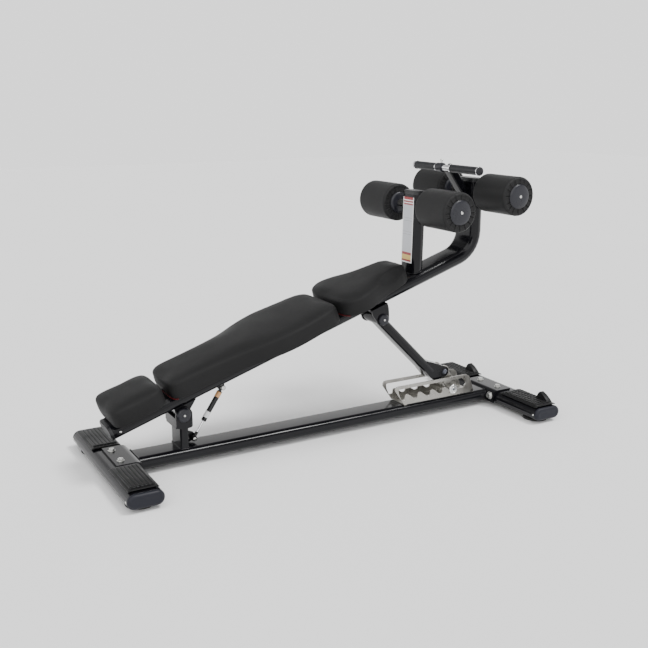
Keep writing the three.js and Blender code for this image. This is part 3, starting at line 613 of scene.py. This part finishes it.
eye_ring = [[0.0060, -0.0048, 0], [0.0084, -0.0050, 0], [0.0090, -0.0044, 0], [0.0090, 0.0044, 0],
            [0.0084, 0.0050, 0], [0.0060, 0.0048, 0], [0.0060, -0.0048, 0]]
cylinder = group("gas_cylinder", [tube_shape, turned(eye_ring, stud_top, (0, 1, 0), 40)], "spring_body",
                 cylinder_black)
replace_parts(cylinder, "spring_cylinder")


def sleeve(name, start, stop, material):
    """Thin tube over the cylinder between two distances from the upper stud."""
    rim = [[0.0091, start, 0], [0.0094, start + 0.0004, 0], [0.0094, stop - 0.0004, 0], [0.0091, stop, 0],
           [0.00905, stop, 0], [0.00905, start, 0], [0.0091, start, 0]]
    group(name, [turned(rim, stud_top, spring_dir, 40)], "spring_body", material)


sleeve("copper_band", 0.0180, 0.0380, copper_sleeve)
sleeve("white_band", 0.0950, 0.1180, white_sleeve)
rod_shape = turned([[0, 0.0765, 0], [0.0036, 0.0765, 0], [0.0040, 0.0772, 0], [0.0040, spring_len - 0.0085, 0],
                    [0, spring_len - 0.0085, 0]], stud_top, spring_dir, 32)
piston = group("gas_rod", [rod_shape], "spring_piston", polished)
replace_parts(piston, "spring_rod")
low_eye = [[r * 1.15 if r > 0.007 else r, t, k] for r, t, k in eye_ring]
neck = turned([[0, spring_len - 0.0240, 0], [0.0052, spring_len - 0.0240, 0], [0.0058, spring_len - 0.0225, 0],
               [0.0058, spring_len - 0.0090, 0], [0, spring_len - 0.0090, 0]], stud_top, spring_dir, 32)
group("gas_rod_eye", [neck, turned(low_eye, stud_low, (0, 1, 0), 40)], "spring_piston", cylinder_black)
for name, at, body, broad in (("upper_ball_stud", stud_top, "seat_frame", 1.0),
                              ("lower_ball_stud", stud_low, "base", 0.8)):
    ball = [[0, -0.0128, 0], [0.0046, -0.0128, 0], [0.0072, -0.0118, 0], [0.0088, -0.0092, 0],
            [0.0088, -0.0075, 0], [0.0070, -0.0066, 0], [0, -0.0066, 0]]
    ball = [[r * broad, t, k] for r, t, k in ball]
    group(name, [turned(ball, at, (0, 1, 0), 36)], body, bright_zinc)


# ---- Cushions ----
# Three cushions: moulded foam on plywood, pulled tight in charcoal vinyl that is stapled underneath.
# The top edge is a soft roll, the sides tuck in towards the board, and the seat is scooped for the thighs.
vinyl = finish("charcoal_vinyl", (0.0125, 0.0125, 0.0127), (0.0160, 0.0160, 0.0163), (0.46, 0.58), grain=1500,
               depth=0.00032, cells=850, patch=7, Specular_IOR_Level=0.08)
red_trim = finish("dark_red_trim", (0.045, 0.0030, 0.0040), (0.070, 0.0045, 0.0060), (0.45, 0.6), grain=1200,
                  depth=0.0001, patch=30, Specular_IOR_Level=0.2)
board_cover = finish("board_cover", (0.006, 0.0055, 0.0055), (0.010, 0.0090, 0.0090), (0.6, 0.75), grain=800,
                     depth=0.0002, patch=15, Specular_IOR_Level=0.15)


def half_outline(stations, corner_s, pitch=0.0055):
    """Catmull-Rom curve through the stations, cut at the two corners and resampled evenly in each of its
    three lengths, with as many points in the first end as in the last. Also returns those counts."""
    p = np.asarray(stations, float) / 1000
    ends = np.vstack([2 * p[0] - p[1], p, 2 * p[-1] - p[-2]])
    t = np.linspace(0, 1, 24, endpoint=False)[None, :, None]
    a, b, c, d = (ends[k:len(ends) - 3 + k][:, None, :] for k in range(4))
    curve = 0.5 * (2 * b + (c - a) * t + (2 * a - 5 * b + 4 * c - d) * t ** 2
                   + (3 * b - a - 3 * c + d) * t ** 3)
    curve = np.vstack([curve.reshape(-1, 2), p[-1:]])
    length = np.r_[0, np.cumsum(np.linalg.norm(np.diff(curve, axis=0), axis=1))]
    lo, hi = (length[np.argmin(np.abs(curve[:, 0] - s / 1000))] for s in corner_s)
    ends_count = int(round((lo + length[-1] - hi) / 2 / pitch))
    side_count = int(round((hi - lo) / pitch))
    at = np.r_[np.linspace(0, lo, ends_count + 1)[:-1], np.linspace(lo, hi, side_count + 1)[:-1],
               np.linspace(hi, length[-1], ends_count + 1)]
    return np.stack([np.interp(at, length, curve[:, k]) for k in (0, 1)], axis=1), ends_count, side_count


def coons(loop, corners):
    """Grid inside a closed loop cut at four corners: the sum of the two blends between opposite edges less
    the bilinear blend of the corners."""
    i0, i1, i2, i3 = corners
    n = len(loop)
    near, right = loop[i0:i1 + 1], loop[i1:i2 + 1]
    far = loop[i2:i3 + 1][::-1]
    left = np.vstack([loop[i3:], loop[:i0 + 1]])[::-1]
    u = np.linspace(0, 1, len(near))[:, None, None]
    v = np.linspace(0, 1, len(right))[None, :, None]
    edges = (1 - v) * near[:, None] + v * far[:, None] + (1 - u) * left[None] + u * right[None]
    blend = ((1 - u) * (1 - v) * near[0] + u * (1 - v) * near[-1] + (1 - u) * v * far[0] + u * v * far[-1])
    return edges - blend


def plump(piece, held, limit):
    """Twenty frames of cloth under inner pressure with the stapled edge held. Each point's travel is limited,
    then evened out with its neighbours', because the vinyl is pulled tight and shows only faint ripples."""
    start = np.empty(len(piece.data.vertices) * 3)
    piece.data.vertices.foreach_get("co", start)
    staples = piece.vertex_groups.new(name="stapled")
    staples.add([int(k) for k in held], 1.0, "REPLACE")
    cloth = piece.modifiers.new("stuffing", "CLOTH")
    cloth.settings.quality = 5
    cloth.settings.mass = 0.3
    cloth.settings.tension_stiffness = 20
    cloth.settings.compression_stiffness = 20
    cloth.settings.bending_stiffness = 2
    cloth.settings.use_pressure = True
    cloth.settings.uniform_pressure_force = 4
    cloth.settings.vertex_group_mass = "stapled"
    cloth.settings.effector_weights.gravity = 0
    cloth.point_cache.frame_start = 1
    cloth.point_cache.frame_end = 20
    for step in range(1, 21):
        scene.frame_set(step)
    swollen = piece.evaluated_get(bpy.context.evaluated_depsgraph_get())
    end = np.empty_like(start)
    swollen.data.vertices.foreach_get("co", end)
    travel = (end - start).reshape(-1, 3)
    far = np.linalg.norm(travel, axis=1, keepdims=True)
    travel *= np.minimum(1, limit / np.maximum(far, 1e-9))
    ends = np.empty(2 * len(piece.data.edges), np.int32)
    piece.data.edges.foreach_get("vertices", ends)
    ends = ends.reshape(-1, 2)
    shared = np.bincount(ends.ravel(), minlength=len(travel))[:, None]
    even = travel.copy()
    for _ in range(40):
        around = np.zeros_like(even)
        np.add.at(around, ends[:, 0], even[ends[:, 1]])
        np.add.at(around, ends[:, 1], even[ends[:, 0]])
        even = 0.5 * even + 0.5 * around / shared
        even[held] = 0
    travel = 0.93 * even + 0.07 * travel
    piece.modifiers.remove(cloth)
    piece.vertex_groups.remove(staples)
    scene.frame_set(1)
    piece.data.vertices.foreach_set("co", (start.reshape(-1, 3) + travel).ravel())
    piece.data.update()


def cushion(name, stations, corner_s, crown, scoop=0.0, red_edge=False):
    """Closed shell: a crowned Coons top, a quarter-round roll of 12 mm, a side that tucks in by 5 mm and
    hangs as a skirt over the board's edge, and a flat Coons underside, on one evenly spaced outline."""
    half, ends_count, side_count = half_outline(stations, corner_s)
    loop = np.vstack([half * [1, -1], half[::-1][1:-1]])
    n = len(loop)
    corners = (ends_count, ends_count + side_count, n - ends_count - side_count, n - ends_count)
    after, before = np.roll(loop, -1, 0), np.roll(loop, 1, 0)
    tangent = after - before
    tangent /= np.linalg.norm(tangent, axis=1, keepdims=True)
    outward = np.stack([tangent[:, 1], -tangent[:, 0]], axis=1)
    for _ in range(10):
        outward = (np.roll(outward, 1, 0) + 2 * outward + np.roll(outward, -1, 0)) / 4
    outward /= np.linalg.norm(outward, axis=1, keepdims=True)
    base, top = 0.0612, 0.1120
    bend = np.linspace(0, np.pi / 2, 7)
    inset = np.r_[0.0132 - 0.012 * np.sin(bend),
                  [0.0010, 0.0008, 0.0010, 0.0018, 0.0030, 0.0038, 0.0050, 0.0056, 0.0058]]
    height = np.r_[top - 0.012 * (1 - np.cos(bend)),
                   [0.0920, 0.0840, 0.0760, 0.0680, 0.0600, 0.0535, 0.0522, 0.0545, base]]
    rings = loop[None] - outward[None] * inset[:, None, None]
    lid = coons(rings[0], corners)
    under = coons(rings[-1], corners)
    rows, columns = lid.shape[:2]
    u = np.linspace(-1, 1, rows)[:, None]
    v = np.linspace(-1, 1, columns)[None, :]
    swell = crown * (1 - np.abs(u) ** 6) * (1 - np.abs(v) ** 2.5)
    lid_points = on_seat(lid[..., 0], lid[..., 1], top + swell).reshape(-1, 3)
    under_points = on_seat(under[..., 0], under[..., 1], np.full(under.shape[:2], base)).reshape(-1, 3)
    side_points = on_seat(rings[..., 0], rings[..., 1], height[:, None] * np.ones(n)).reshape(-1, 3)
    quads = np.vstack([grid_quads(rows, columns, False, False),
                       grid_quads(rows, columns, False, False) + len(lid_points),
                       grid_quads(len(inset), n, False, True) + 2 * len(lid_points)])
    piece = surface(name + "_cushion", np.vstack([lid_points, under_points, side_points]), quads,
                    "seat_frame",
                    vinyl, sharp=180, merge=2e-5)
    co = np.empty(len(piece.data.vertices) * 3)
    piece.data.vertices.foreach_get("co", co)
    local = co.reshape(-1, 3) - seat_origin
    held = np.flatnonzero(local @ seat_up < base + 0.0035)
    plump(piece, held, 0.005)
    if scoop:
        piece.data.vertices.foreach_get("co", co)
        points = co.reshape(-1, 3)
        local = points - seat_origin
        s, w, h = local @ seat_axis, np.abs(points[:, 1]), local @ seat_up
        width = np.interp(s, half[:, 0], half[:, 1])
        rho = ((s - 1.116) / 0.082) ** 2 + ((width + 0.004 - w) / 0.044) ** 2
        drop = scoop * np.clip(1 - rho, 0, 1) ** 0.75 * np.clip((h - 0.078) / 0.030, 0, 1)
        points -= drop[:, None] * seat_up
        piece.data.vertices.foreach_set("co", points.ravel())
        piece.data.update()
    rounder = piece.modifiers.new("rounder", "SUBSURF")
    rounder.levels = rounder.render_levels = 1
    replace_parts(piece, name + "_pad")
    softened(name + "_board", board_cover, 0.001)
    if red_edge:
        end_run = np.flatnonzero(loop[:, 0] < half[ends_count, 0] + 0.004)
        order = end_run[np.argsort(loop[end_run, 1])]
        strip = loop[order] - outward[order] * 0.0030
        trim_path = on_seat(strip[:, 0], strip[:, 1], np.full(len(order), 0.0525))
        trim = bead(name + "_red_edge", trim_path, 0.0024, "seat_frame", closed=False)
        trim.data.materials[0] = red_trim
    return piece


cushion("head", [[-4, 0], [-3, 70], [8, 98], [30, 108], [90, 109], [150, 106], [178, 92], [188, 62], [190, 0]],
        (8, 178), 0.004)
cushion("back", [[203, 0], [204, 70], [214, 98], [240, 113], [300, 116], [400, 120], [480, 130], [540, 150],
                 [600, 164], [660, 168], [740, 160], [800, 150], [840, 132], [860, 96], [864, 0]],
        (214, 852), 0.005, red_edge=True)
cushion("seat", [[872, 0], [874, 80], [884, 124], [908, 151], [940, 160], [980, 152], [1030, 131], [1080, 114],
                 [1130, 103], [1168, 88], [1194, 58], [1202, 0]], (884, 1184), 0.005, scoop=0.017,
        red_edge=True)


# ---- Leg rollers ----
# Foam tubes in charcoal vinyl sleeves. At both ends the sleeve is gathered over the foam's rim in sixteen
# pleats and clamped under a domed hub, which a bright screw holds to the axle.
sleeve_vinyl = finish("sleeve_vinyl", (0.0165, 0.0165, 0.0168), (0.0210, 0.0210, 0.0214), (0.44, 0.56),
                      grain=1500,
                      depth=0.00032, cells=850, patch=7, Specular_IOR_Level=0.10)
rim_count = 16


def roller_cover(name, seed):
    """Radius and length follow a closed profile r(k), y(k); each pleat is a groove with one raised side,
    at a slightly uneven angle, fading out at the rim and under the hub."""
    low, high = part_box(name)
    x, z = (low.x + high.x) / 2, (low.z + high.z) / 2
    y0, y1, radius = low.y, high.y, (high.x - low.x) / 2
    bend = np.linspace(0, np.pi / 2, 8)
    roll = 0.0085
    face_r = np.linspace(0.0200, radius - roll, 20)
    edge_r = radius - roll + roll * np.sin(bend[1:])
    edge_d = roll * (1 - np.cos(bend[1:]))
    side_d = np.linspace(0.016, (y1 - y0) / 2, 14)
    r_half = np.r_[face_r, edge_r, np.full(14, radius)]
    d_half = np.r_[np.full(20, 0.0018), edge_d + 0.0018 * (1 - np.sin(bend[1:])), side_d]
    r = np.r_[r_half, r_half[::-1][1:]]
    y = np.r_[y0 + d_half, (y1 - d_half)[::-1][1:]]
    toward = np.r_[np.full(len(r_half), -1.0), np.full(len(r_half) - 1, 1.0)]
    rng = np.random.default_rng(seed)
    place = (np.arange(rim_count) + rng.uniform(-0.16, 0.16, rim_count)) * 2 * np.pi / rim_count
    turn = np.linspace(0, 2 * np.pi, 432, endpoint=False)
    gap = (turn[None, :] - place[:, None] + np.pi) % (2 * np.pi) - np.pi
    arc = gap[None] * r[:, None, None]
    pleat = (-0.0036 * np.exp(-(arc / 0.0012) ** 2) + 0.0024 * np.exp(-((arc - 0.0030) / 0.0018) ** 2)).sum(1)
    window = np.clip((r - 0.038) / 0.004, 0, 1) * np.clip((radius + 0.0005 - r) / 0.008, 0, 1)
    window = window * np.clip(1 - np.minimum(y - y0, y1 - y) / 0.012, 0, 1)
    ridge = 0.0026 * np.exp(-((r - (radius - 0.0075)) / 0.0025) ** 2) * (np.minimum(y - y0, y1 - y) < 0.006)
    out = pleat * window[:, None] + ridge[:, None]
    slack = 0.0004 * np.sin(3 * turn + seed)[None, :] * np.sin(np.pi * (y - y0) / (y1 - y0))[:, None]
    rr = r[:, None] + slack - 0.0006
    yy = y[:, None] + toward[:, None] * out
    cloud = np.stack([x + rr * np.cos(turn), yy, z + rr * np.sin(turn)], axis=-1)
    piece = surface(name + "_sleeve", cloud.reshape(-1, 3), grid_quads(len(r), 432, True, True),
                    body_of(frame["nodes"][name])[0], sleeve_vinyl, sharp=180)
    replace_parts(piece, name)


def roller_hub(name, side):
    """Outer dome, sleeve through the foam and inner dome, each a smooth turned profile."""
    low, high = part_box(name)
    x, z = (low.x + high.x) / 2, (low.z + high.z) / 2
    outer = high.y if side > 0 else -low.y
    inner = low.y if side > 0 else -high.y
    bend = np.linspace(0.0, np.pi / 2, 10)[:-1]
    dome = [[0.006 + 0.0375 * math.cos(a), outer - 0.0088 + 0.0086 * math.sin(a), 0] for a in bend]
    bell = [[0.0160 + 0.024 * math.cos(a), inner + 0.0085 - 0.0085 * math.sin(a), 0] for a in bend]
    shell = turned([[0.0134, inner, 0]] + bell[::-1] + [[0.0400, inner + 0.0095, 0], [0.0194, inner + 0.0097, 0],
                   [0.0194, outer - 0.0104, 0], [0.0440, outer - 0.0102, 0], [0.0442, outer - 0.0094,
                                                                              0]] + dome
                   + [[0.0054, outer - 0.0006, 0], [0, outer - 0.0012, 0], [0, outer - 0.0080, 0],
                      [0.0134, outer - 0.0082, 0], [0.0134, inner, 0]], (x, 0, z), (0, side, 0), 64)
    body = body_of(frame["nodes"][name])[0]
    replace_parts(group(name + "_domes", [shell], body, pivot_plastic, sharp=50), name)
    group(name + "_screw", [pan_head((x, side * (outer - 0.0012), z), (0, side, 0), 0.0052)], body,
          bright_zinc)


for seed, (roller, side) in enumerate((("roller_a_near", -1), ("roller_a_far", 1), ("roller_b_near", -1),
                                       ("roller_b_far", 1))):
    roller_cover(roller + "_foam", seed + 3)
    roller_hub(roller + "_hub", side)
softened("front_axle", brushed_plate, 0.0010)
softened("rear_axle", brushed_plate, 0.0010)


# ---- Grip bar ----
# A chromed steel bar through the arm's head, with a moulded rubber grip on each side, a thin chrome ring
# at both ends of each grip, and a clamp sleeve with a locking stud.
grip_rubber = finish("grip_rubber", (0.0075, 0.0076, 0.0095), (0.0120, 0.0122, 0.0150), (0.32, 0.46),
                     grain=1300,
                     depth=0.0002, patch=24, Specular_IOR_Level=0.3)
low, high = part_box("handle_bar")
bar_x, bar_z = (low.x + high.x) / 2, (low.z + high.z) / 2
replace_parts(group("chrome_bar", [turned([[0, low.y, 0], [0.0106, low.y, 0], [0.0110, low.y + 0.0005, 0],
                                         [0.0110, high.y - 0.0005, 0], [0.0106, high.y, 0], [0, high.y, 0]],
                                        (bar_x, 0, bar_z), (0, 1, 0), 48)], "seat_frame", polished),
            "handle_bar")
for side, tag, start in ((-1, "near", 0.032), (1, "far", 0.061)):
    at = np.linspace(start + 0.002, 0.1860, 130)
    wave = 0.0150 - 0.0005 * (0.5 + 0.5 * np.cos(2 * np.pi * at / 0.0048)) ** 4
    sleeve_shape = [[0.0114, start, 0], [0.0144, start + 0.0004, 0]] + [[r, y, 0] for r, y in zip(wave, at)]
    sleeve_shape += [[0.0150, 0.1868, 0], [0.0159, 0.1886, 0], [0.0160, 0.1945, 0], [0.0146, 0.1978, 0],
                     [0.0115, 0.1994, 0], [0, 0.2000, 0], [0, 0.1914, 0], [0.0114, 0.1914, 0],
                     [0.0114, start, 0]]
    grip = group("grip_sleeve_" + tag, [turned(sleeve_shape, (bar_x, 0, bar_z), (0, side, 0), 48)],
                 "seat_frame", grip_rubber, sharp=60)
    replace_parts(grip, "grip_" + tag)
    inner = start - 0.0062
    rings = [turned([[0.0113, inner, 0], [0.0146, inner, 0], [0.0150, inner + 0.0006, 0],
                     [0.0150, inner + 0.0050, 0], [0.0146, inner + 0.0056, 0], [0.0113, inner + 0.0056, 0],
                     [0.0113, inner, 0]], (bar_x, 0, bar_z), (0, side, 0), 48),
             turned([[0.0158, 0.1895, 0], [0.0162, 0.1898, 0], [0.0162, 0.1924, 0], [0.0158, 0.1927, 0],
                     [0.0158, 0.1895, 0]], (bar_x, 0, bar_z), (0, side, 0), 48)]
    group("grip_rings_" + tag, rings, "seat_frame", polished)
softened("clamp_ring", pivot_plastic, 0.001)
stud_top_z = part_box("clamp_ring")[1].z
group("clamp_stud_tip", [turned([[0, -0.0100, 0], [0.0046, -0.0100, 0], [0.0046, -0.0030, 0],
                                 [0.0060, -0.0024, 0], [0.0062, 0.0010, 0], [0.0046, 0.0032, 0], [0, 0.0038,
                                                                                                  0]],
                                (bar_x - 0.002, 0.029, stud_top_z - 0.001), (0, 0, 1), 28)], "seat_frame",
      bright_zinc)


# ---- Post label ----
# A printed aluminium plate on the post: plain grey field, a dark red header with light stripes, a yellow
# panel between two red bands at the foot, and a light border. It carries no lettering.
low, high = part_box("post_label")
label_print = bpy.data.materials.new("label_print")
label_print.use_nodes = True
nodes, links = label_print.node_tree.nodes, label_print.node_tree.links
where = nodes.new("ShaderNodeTexCoord")
split = nodes.new("ShaderNodeSeparateXYZ")
links.new(where.outputs["Object"], split.inputs["Vector"])
level = nodes.new("ShaderNodeMapRange")
level.inputs["From Min"].default_value = low.z
level.inputs["From Max"].default_value = high.z
links.new(split.outputs["Z"], level.inputs["Value"])
bands = nodes.new("ShaderNodeValToRGB")
bands.color_ramp.interpolation = "CONSTANT"
red, grey, white = (0.26, 0.022, 0.026, 1), (0.46, 0.47, 0.50, 1), (0.78, 0.78, 0.78, 1)
yellow, rule = (0.62, 0.44, 0.11, 1), (0.20, 0.20, 0.23, 1)
stops = [(0.000, white), (0.018, red), (0.045, yellow), (0.118, red), (0.158, grey), (0.430, rule),
         (0.434, grey), (0.470, rule), (0.474, grey), (0.640, rule), (0.644, grey), (0.680, rule),
         (0.684, grey), (0.880, red), (0.905, white), (0.920, red), (0.945, white), (0.960, red),
         (0.982, white)]
for place_at, tone in stops[2:]:
    bands.color_ramp.elements.new(place_at).color = tone
bands.color_ramp.elements[0].position, bands.color_ramp.elements[0].color = stops[0]
ramp = sorted(bands.color_ramp.elements, key=lambda e: e.position)
for element, (place_at, tone) in zip(ramp[:-1], stops):
    element.position, element.color = place_at, tone
ramp[-1].color = white
links.new(level.outputs["Result"], bands.inputs["Fac"])
across_label = nodes.new("ShaderNodeMath")
across_label.operation = "ABSOLUTE"
links.new(split.outputs["Y"], across_label.inputs[0])
border = nodes.new("ShaderNodeMath")
border.operation = "GREATER_THAN"
border.inputs[1].default_value = 0.0292
links.new(across_label.outputs["Value"], border.inputs[0])
edged = nodes.new("ShaderNodeMix")
edged.data_type = "RGBA"
edged.inputs["B"].default_value = white
links.new(border.outputs["Value"], edged.inputs["Factor"])
links.new(bands.outputs["Color"], edged.inputs["A"])
links.new(edged.outputs["Result"], nodes["Principled BSDF"].inputs["Base Color"])
nodes["Principled BSDF"].inputs["Roughness"].default_value = 0.38
softened("post_label", label_print, 0.0003)


# ---- Studio ----
# A pale floor, white walls under a dimmer ceiling, and two wide soft lights. The camera stands at the head
# end, to the near side.
floor_mesh = bpy.data.meshes.new("floor")
floor_mesh.from_pydata([(-14, -14, 0), (14, -14, 0), (14, 14, 0), (-14, 14, 0)], [], [(0, 1, 2, 3)])
floor = bpy.data.objects.new("floor", floor_mesh)
scene.collection.objects.link(floor)
floor_mesh.materials.append(finish("pale_floor", (0.86, 0.86, 0.86), (0.88, 0.88, 0.88), (0.8, 0.9), grain=40,
                                   depth=0.00001, patch=1))
room = bpy.data.worlds.new("pale_room")
room.use_nodes = True
walls = room.node_tree.nodes["Background"]
direction = room.node_tree.nodes.new("ShaderNodeTexCoord")
upward = room.node_tree.nodes.new("ShaderNodeSeparateXYZ")
room.node_tree.links.new(direction.outputs["Generated"], upward.inputs["Vector"])
wall_light = room.node_tree.nodes.new("ShaderNodeMapRange")
wall_light.interpolation_type = "SMOOTHSTEP"
wall_light.inputs["From Min"].default_value = 0.30
wall_light.inputs["From Max"].default_value = 0.58
wall_light.inputs["To Min"].default_value = 1.55
wall_light.inputs["To Max"].default_value = 0.32
room.node_tree.links.new(upward.outputs["Z"], wall_light.inputs["Value"])
room.node_tree.links.new(wall_light.outputs["Result"], walls.inputs["Strength"])
walls.inputs["Color"].default_value = (1, 1, 1, 1)
scene.world = room


def soft_light(name, toward, spread, strength):
    """A wide lamp at infinity, shining from the direction toward, with a disc of spread degrees."""
    lamp = bpy.data.lights.new(name, "SUN")
    lamp.angle = math.radians(spread)
    lamp.energy = strength
    holder = bpy.data.objects.new(name, lamp)
    scene.collection.objects.link(holder)
    holder.rotation_euler = Vector(toward).to_track_quat("Z", "Y").to_euler()


soft_light("overhead_strip", (0.38, -0.30, 0.87), 18, 2.2)
soft_light("wide_fill", (-0.35, -0.45, 0.82), 80, 2.6)
lens = bpy.data.cameras.new("camera")
lens.lens, lens.sensor_width = 50, 36
camera = bpy.data.objects.new("camera", lens)
scene.collection.objects.link(camera)
camera.location = (-1.569, -2.748, 1.212)
camera.rotation_euler = (math.radians(75.9), 0, math.radians(-29.7))
scene.camera = camera
